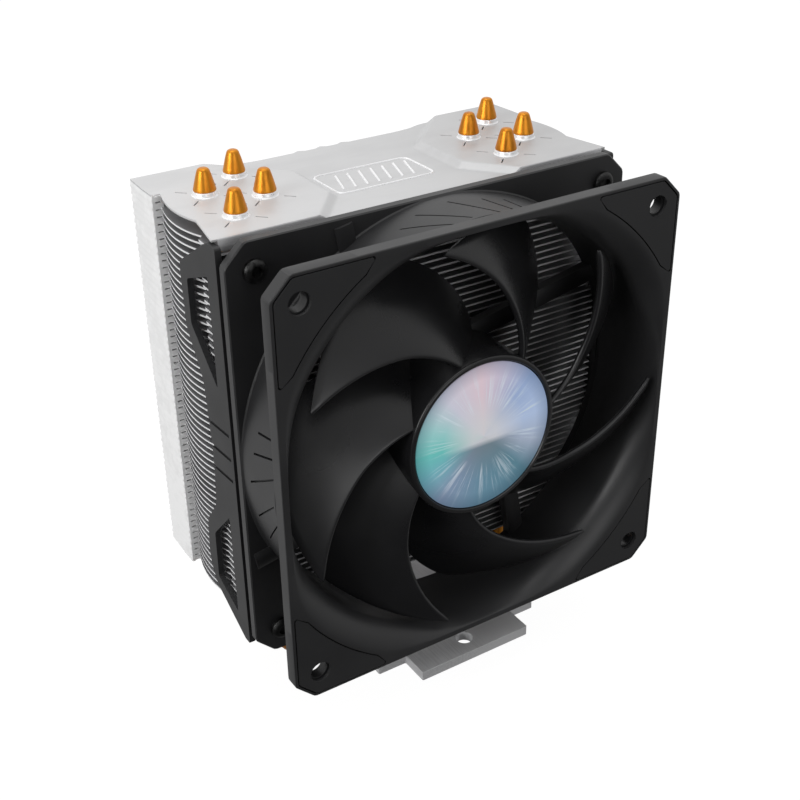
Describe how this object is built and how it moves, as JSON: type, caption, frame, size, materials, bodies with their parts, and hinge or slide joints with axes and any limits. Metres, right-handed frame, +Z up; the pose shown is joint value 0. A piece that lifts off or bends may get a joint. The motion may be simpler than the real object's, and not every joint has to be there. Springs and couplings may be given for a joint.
{
  "type": "cpu tower cooler",
  "caption": "Tower heatsink of stacked fins on U-shaped copper heat pipes, with a clip-on square axial fan and a flat mounting plate at its foot.",
  "frame": {"origin": "centre of the base block's contact face, where it presses on the processor", "axes": "+Z up along the heat pipes, away from the contact face; -Y towards the fan's intake side; +X to the right of someone facing the fan"},
  "size_m": [0.12, 0.1042, 0.155],
  "materials": {
    "machined_aluminium": "milled, satin",
    "plate_steel": "dark nickel, satin",
    "zinc_steel": "zinc plated",
    "copper": "bare polished copper",
    "fin_aluminium": "bright rolled sheet",
    "frame_plastic": "black, fine satin texture",
    "rubber": "black, matte",
    "bracket_plastic": "dark grey, satin",
    "black_steel": "black oxide",
    "bronze": "sintered bronze",
    "lamination_steel": "stacked sheet steel",
    "enamelled_copper": "enamelled wire",
    "board": "green solder mask",
    "lead_jacket": "black sleeving",
    "plug_plastic": "black nylon",
    "blade_plastic": "black, satin gloss",
    "badge_film": "pastel iridescent film",
    "ferrite": "sintered ferrite"
  },
  "bodies": {
    "heatsink": {"base_block": "machined_aluminium", "mounting_plate": "plate_steel", "plate_screw_1": "zinc_steel", "plate_screw_2": "zinc_steel", "plate_screw_3": "zinc_steel", "plate_screw_4": "zinc_steel", "heat_pipe_1": "copper", "heat_pipe_2": "copper", "heat_pipe_3": "copper", "heat_pipe_4": "copper", "fin_stack": "fin_aluminium", "top_fin": "fin_aluminium"},
    "fan_unit": {"fan_frame": "frame_plastic", "front_pad_lower_left": "rubber", "front_pad_upper_left": "rubber", "front_pad_lower_right": "rubber", "front_pad_upper_right": "rubber", "rear_pad_lower_left": "rubber", "rear_pad_upper_left": "rubber", "rear_pad_lower_right": "rubber", "rear_pad_upper_right": "rubber", "left_bracket": "bracket_plastic", "right_bracket": "bracket_plastic", "bracket_screw_lower_left": "black_steel", "bracket_screw_upper_left": "black_steel", "bracket_screw_lower_right": "black_steel", "bracket_screw_upper_right": "black_steel", "bearing_bush": "bronze", "stator_core": "lamination_steel", "stator_coil_1": "enamelled_copper", "stator_coil_2": "enamelled_copper", "stator_coil_3": "enamelled_copper", "stator_coil_4": "enamelled_copper", "circuit_board": "board", "fan_lead": "lead_jacket", "lead_plug": "plug_plastic"},
    "rotor": {"impeller": "blade_plastic", "hub_badge": "badge_film", "rotor_yoke": "zinc_steel", "magnet_ring": "ferrite", "motor_shaft": "zinc_steel"}
  },
  "joints": [
    {"name": "fan_clip_slide", "type": "slide", "parent": "heatsink", "child": "fan_unit", "axis": [0, -1, 0], "range_m": [0, 0.045]},
    {"name": "rotor_spin", "type": "hinge", "parent": "fan_unit", "child": "rotor", "pos_m": [0, -0.0415, 0.089], "axis": [0, -1, 0], "continuous": true}
  ]
}
